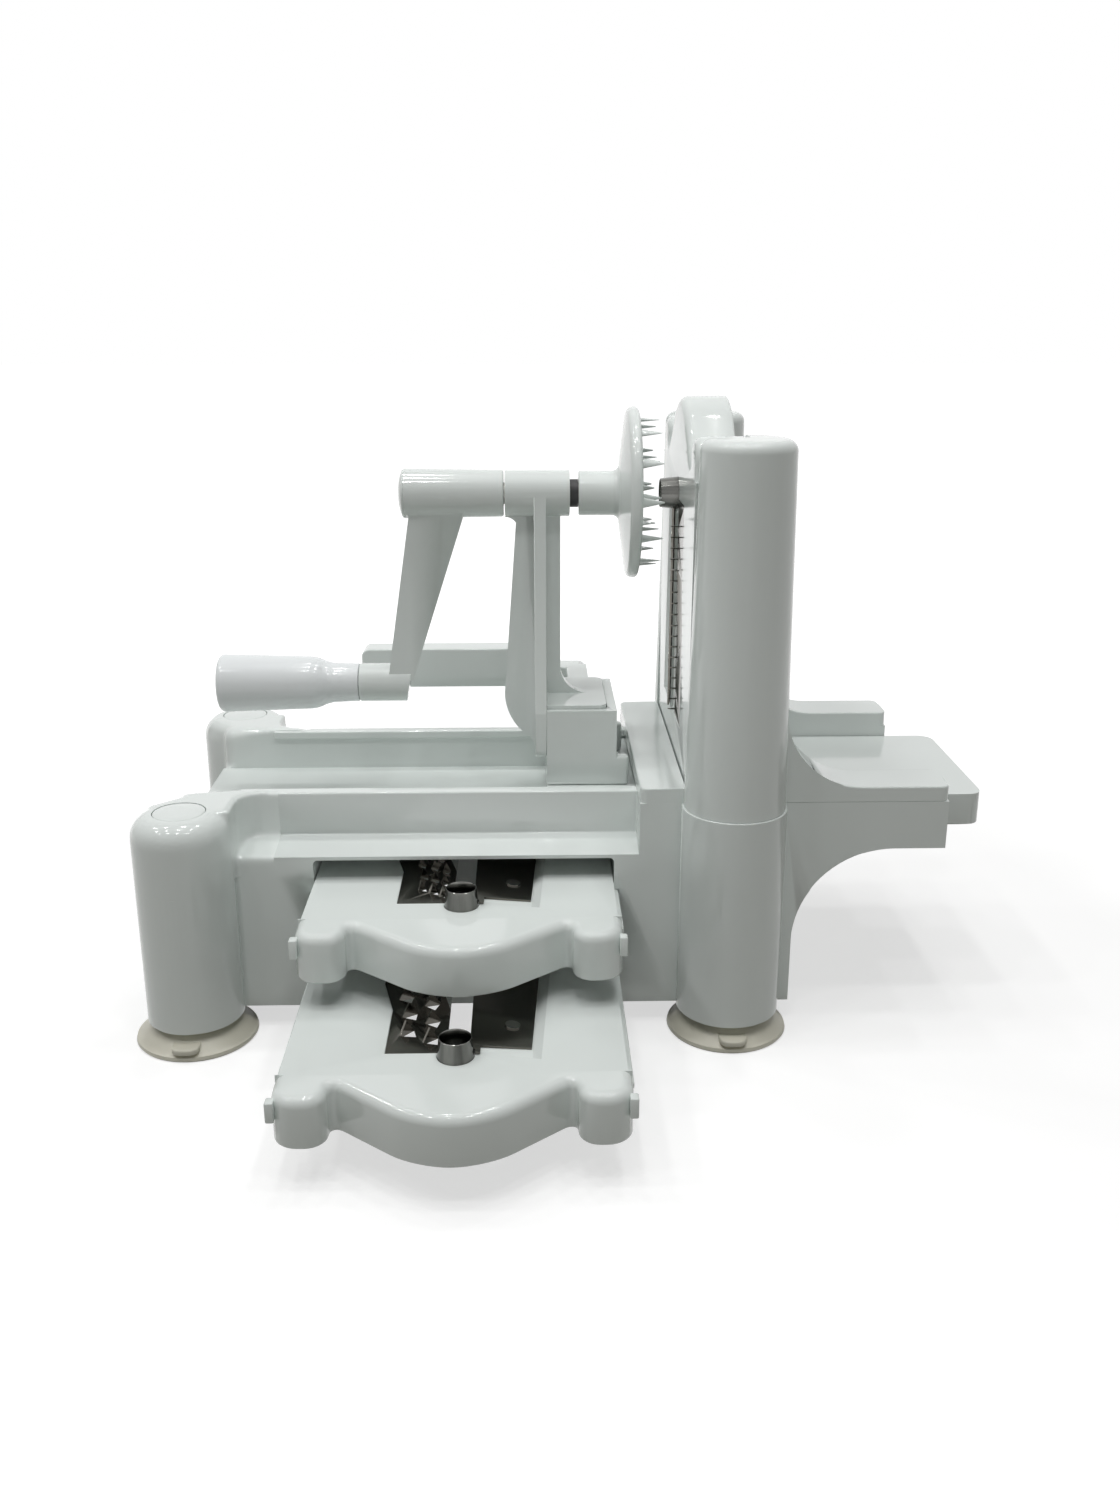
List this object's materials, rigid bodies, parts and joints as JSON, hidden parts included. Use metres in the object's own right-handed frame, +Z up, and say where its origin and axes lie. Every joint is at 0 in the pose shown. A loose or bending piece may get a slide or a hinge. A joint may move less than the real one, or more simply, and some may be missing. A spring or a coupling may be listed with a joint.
{
  "type": "spiralizer with crank",
  "caption": "Hand-cranked vegetable spiralizer: sliding carriage with crank and prong wheel, upright blade plate, spare plates stored in the base, suction feet.",
  "frame": {"origin": "on the table, on the middle plane of the track, between the legs and the blade end", "axes": "+X along the track towards the blade plate, +Y away from the side where the spare plates come out, +Z up"},
  "size_m": [0.332, 0.2628, 0.2373],
  "materials": {
    "white_plastic": "smooth cool white moulding",
    "grip_plastic": "smooth white, polished",
    "foot_rubber": "soft, slightly see-through beige",
    "bright_steel": "turned and plain",
    "blade_steel": "thin stainless sheet with dark reflections",
    "bearing_plastic": "plain dark"
  },
  "bodies": {
    "base_body": {"lower_base": "white_plastic", "leg_cap_near": "white_plastic", "leg_cap_far": "white_plastic", "foot_left_near": "foot_rubber", "foot_left_far": "foot_rubber", "foot_right_near": "foot_rubber", "foot_right_far": "foot_rubber", "tower": "white_plastic", "tower_screws": "bright_steel"},
    "carriage_body": {"sled": "white_plastic", "carriage_housing": "white_plastic", "post": "white_plastic", "pusher_handle": "white_plastic", "carriage_screws": "bright_steel", "axle_bushing": "bearing_plastic", "thrust_washer": "bearing_plastic"},
    "crank_body": {"crank_axle": "bright_steel", "crank_arm": "white_plastic", "axle_nut": "bright_steel", "crank_cap": "white_plastic", "prong_wheel": "white_plastic", "wheel_screw": "bright_steel", "grip_pin": "bright_steel"},
    "grip_body": {"grip": "grip_plastic", "grip_plug": "grip_plastic"},
    "standing_plate_body": {"comb_plate": "white_plastic", "comb_teeth": "blade_steel", "comb_blade": "blade_steel", "comb_ring": "bright_steel", "comb_rivets": "bright_steel"},
    "upper_plate_body": {"upper_plate": "white_plastic", "upper_teeth": "blade_steel", "upper_blade": "blade_steel", "upper_ring": "bright_steel", "upper_rivets": "bright_steel"},
    "lower_plate_body": {"lower_plate": "white_plastic", "lower_teeth": "blade_steel", "lower_blade": "blade_steel", "lower_ring": "bright_steel", "lower_rivets": "bright_steel"}
  },
  "joints": [
    {"name": "carriage_slide", "type": "slide", "parent": "base_body", "child": "carriage_body", "axis": [1, 0, 0], "range_m": [-0.13, 0]},
    {"name": "crank_spin", "type": "hinge", "parent": "carriage_body", "child": "crank_body", "pos_m": [0, 0, 0.2003], "axis": [1, 0, 0], "continuous": true},
    {"name": "grip_spin", "type": "hinge", "parent": "crank_body", "child": "grip_body", "pos_m": [-0.11, 0, 0.1241], "axis": [1, 0, 0], "continuous": true},
    {"name": "standing_plate_lift", "type": "slide", "parent": "base_body", "child": "standing_plate_body", "axis": [0, 0, 1], "range_m": [0, 0.12]},
    {"name": "upper_plate_slide", "type": "slide", "parent": "base_body", "child": "upper_plate_body", "axis": [0, -1, 0], "range_m": [-0.0335, 0.06]},
    {"name": "lower_plate_slide", "type": "slide", "parent": "base_body", "child": "lower_plate_body", "axis": [0, -1, 0], "range_m": [-0.0905, 0.01]}
  ]
}
